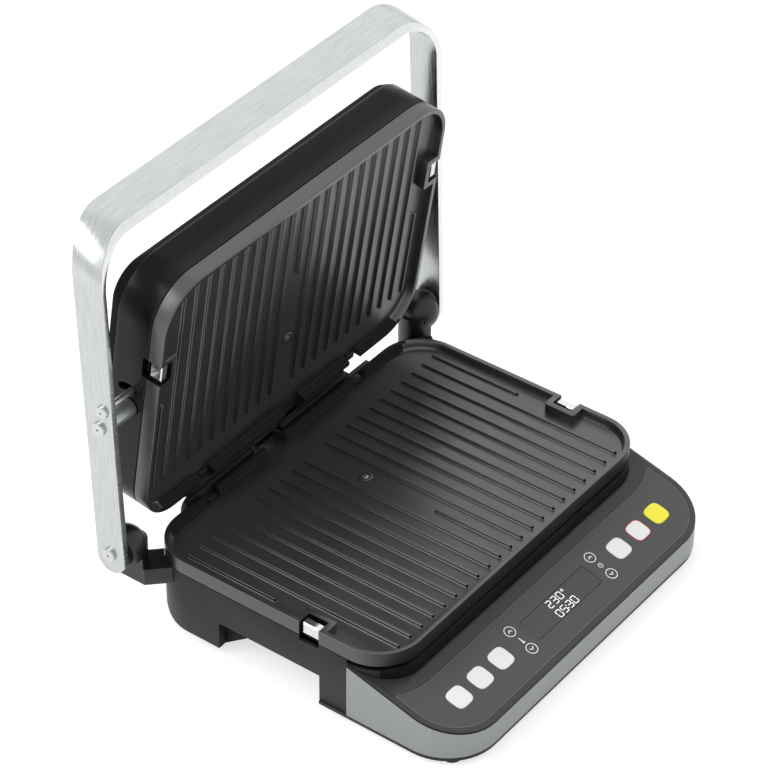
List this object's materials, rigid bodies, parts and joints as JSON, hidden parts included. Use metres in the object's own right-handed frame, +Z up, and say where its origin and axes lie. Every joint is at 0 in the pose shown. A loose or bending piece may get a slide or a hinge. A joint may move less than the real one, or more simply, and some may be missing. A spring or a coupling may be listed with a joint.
{
  "type": "electric contact grill",
  "caption": "Electric contact grill with ribbed plates, a floating lid on a U-shaped carrying handle, and a sloping key panel in front.",
  "frame": {"origin": "middle of the open grill's bounding box, on the surface it stands on", "axes": "+X to the right as the user faces the keys, +Y to the back where the hinge is, +Z up"},
  "size_m": [0.363, 0.3096, 0.3264],
  "materials": {
    "black_plastic": "fine satin, near black",
    "gloss_black": "glossy black",
    "cast_coating": "non-stick coating with a fine grain, satin",
    "panel_grey": "smooth dark grey, satin",
    "silver_paint": "fine silver paint, satin",
    "brushed_aluminium": "brushed along the strap",
    "chrome": "polished",
    "key_white": "smooth white",
    "key_yellow": "smooth yellow",
    "display_black": "clear black lens",
    "circuit_board": "green board",
    "sheet_metal": "plain sheet",
    "heater_steel": "dark tubular steel",
    "rubber": "matt black",
    "spring_steel": "plain wire"
  },
  "bodies": {
    "base": {"base_housing": "black_plastic", "bottom_cover": "black_plastic", "panel_bezel": "panel_grey", "panel_overlay": "panel_grey", "display_module": "display_black", "control_board": "circuit_board", "silver_band": "silver_paint", "rear_rail": "black_plastic", "cable_inlet": "rubber", "hinge_bracket_left": "gloss_black", "hinge_bracket_right": "gloss_black", "hub_washer_left": "sheet_metal", "hub_washer_right": "sheet_metal", "foot_front_left": "rubber", "foot_front_right": "rubber", "foot_rear_left": "rubber", "foot_rear_right": "rubber", "lower_plate": "cast_coating", "lower_heater": "heater_steel", "lower_reflector": "sheet_metal", "lower_temperature_probe": "spring_steel", "lower_latch_spring_left": "spring_steel", "lower_latch_spring_right": "spring_steel", "lower_rear_clip_left": "chrome", "lower_rear_clip_right": "chrome"},
    "drip_tray": {"drip_tray": "black_plastic"},
    "lower_latch_left": {"lower_latch_left": "chrome"},
    "lower_latch_right": {"lower_latch_right": "chrome"},
    "key_1": {"key_1": "key_white"},
    "key_2": {"key_2": "key_white"},
    "key_3": {"key_3": "key_white"},
    "key_4": {"key_4": "key_white"},
    "key_5": {"key_5": "key_white"},
    "key_6": {"key_6": "key_yellow"},
    "handle": {"handle": "brushed_aluminium", "hub_screw_left": "chrome", "hub_screw_right": "chrome", "lid_pivot_screw_left": "chrome", "lid_pivot_screw_right": "chrome", "tilt_stop_pin_left": "chrome", "tilt_stop_pin_right": "chrome"},
    "lid": {"lid_shell": "black_plastic", "lid_rail": "black_plastic", "lid_trunnion_left": "sheet_metal", "lid_trunnion_right": "sheet_metal", "upper_plate": "cast_coating", "upper_heater": "heater_steel", "upper_reflector": "sheet_metal", "upper_temperature_probe": "spring_steel", "upper_latch_spring_left": "spring_steel", "upper_latch_spring_right": "spring_steel", "upper_rear_clip_left": "chrome", "upper_rear_clip_right": "chrome"},
    "upper_latch_left": {"upper_latch_left": "chrome"},
    "upper_latch_right": {"upper_latch_right": "chrome"}
  },
  "joints": [
    {"name": "lid_fold", "type": "hinge", "parent": "base", "child": "handle", "pos_m": [0, 0.11266, 0.0727], "axis": [1, 0, 0], "range_deg": [0, 81.3]},
    {"name": "lid_tilt", "type": "hinge", "parent": "handle", "child": "lid", "pos_m": [0, 0.11541, 0.17786], "axis": [-1, 0, 0], "range_deg": [-32, 1.2]},
    {"name": "drip_tray_slide", "type": "slide", "parent": "base", "child": "drip_tray", "axis": [0, 1, 0], "range_m": [0, 0.06]},
    {"name": "lower_latch_left_slide", "type": "slide", "parent": "base", "child": "lower_latch_left", "axis": [-1, 0, 0], "range_m": [0, 0.0025], "stiffness_N_per_m": 800, "springref_m": -0.002},
    {"name": "lower_latch_right_slide", "type": "slide", "parent": "base", "child": "lower_latch_right", "axis": [1, 0, 0], "range_m": [0, 0.0025], "stiffness_N_per_m": 800, "springref_m": -0.002},
    {"name": "upper_latch_left_slide", "type": "slide", "parent": "lid", "child": "upper_latch_left", "axis": [-1, 0, 0], "range_m": [0, 0.0025], "stiffness_N_per_m": 800, "springref_m": -0.002},
    {"name": "upper_latch_right_slide", "type": "slide", "parent": "lid", "child": "upper_latch_right", "axis": [1, 0, 0], "range_m": [0, 0.0025], "stiffness_N_per_m": 800, "springref_m": -0.002},
    {"name": "key_1_press", "type": "slide", "parent": "base", "child": "key_1", "axis": [0, 0.2622, -0.965], "range_m": [0, 0.0005], "stiffness_N_per_m": 900, "springref_m": -0.001},
    {"name": "key_2_press", "type": "slide", "parent": "base", "child": "key_2", "axis": [0, 0.2622, -0.965], "range_m": [0, 0.0005], "stiffness_N_per_m": 900, "springref_m": -0.001},
    {"name": "key_3_press", "type": "slide", "parent": "base", "child": "key_3", "axis": [0, 0.2622, -0.965], "range_m": [0, 0.0005], "stiffness_N_per_m": 900, "springref_m": -0.001},
    {"name": "key_4_press", "type": "slide", "parent": "base", "child": "key_4", "axis": [0, 0.2622, -0.965], "range_m": [0, 0.0005], "stiffness_N_per_m": 900, "springref_m": -0.001},
    {"name": "key_5_press", "type": "slide", "parent": "base", "child": "key_5", "axis": [0, 0.2622, -0.965], "range_m": [0, 0.0005], "stiffness_N_per_m": 900, "springref_m": -0.001},
    {"name": "key_6_press", "type": "slide", "parent": "base", "child": "key_6", "axis": [0, 0.2622, -0.965], "range_m": [0, 0.0005], "stiffness_N_per_m": 900, "springref_m": -0.001}
  ]
}
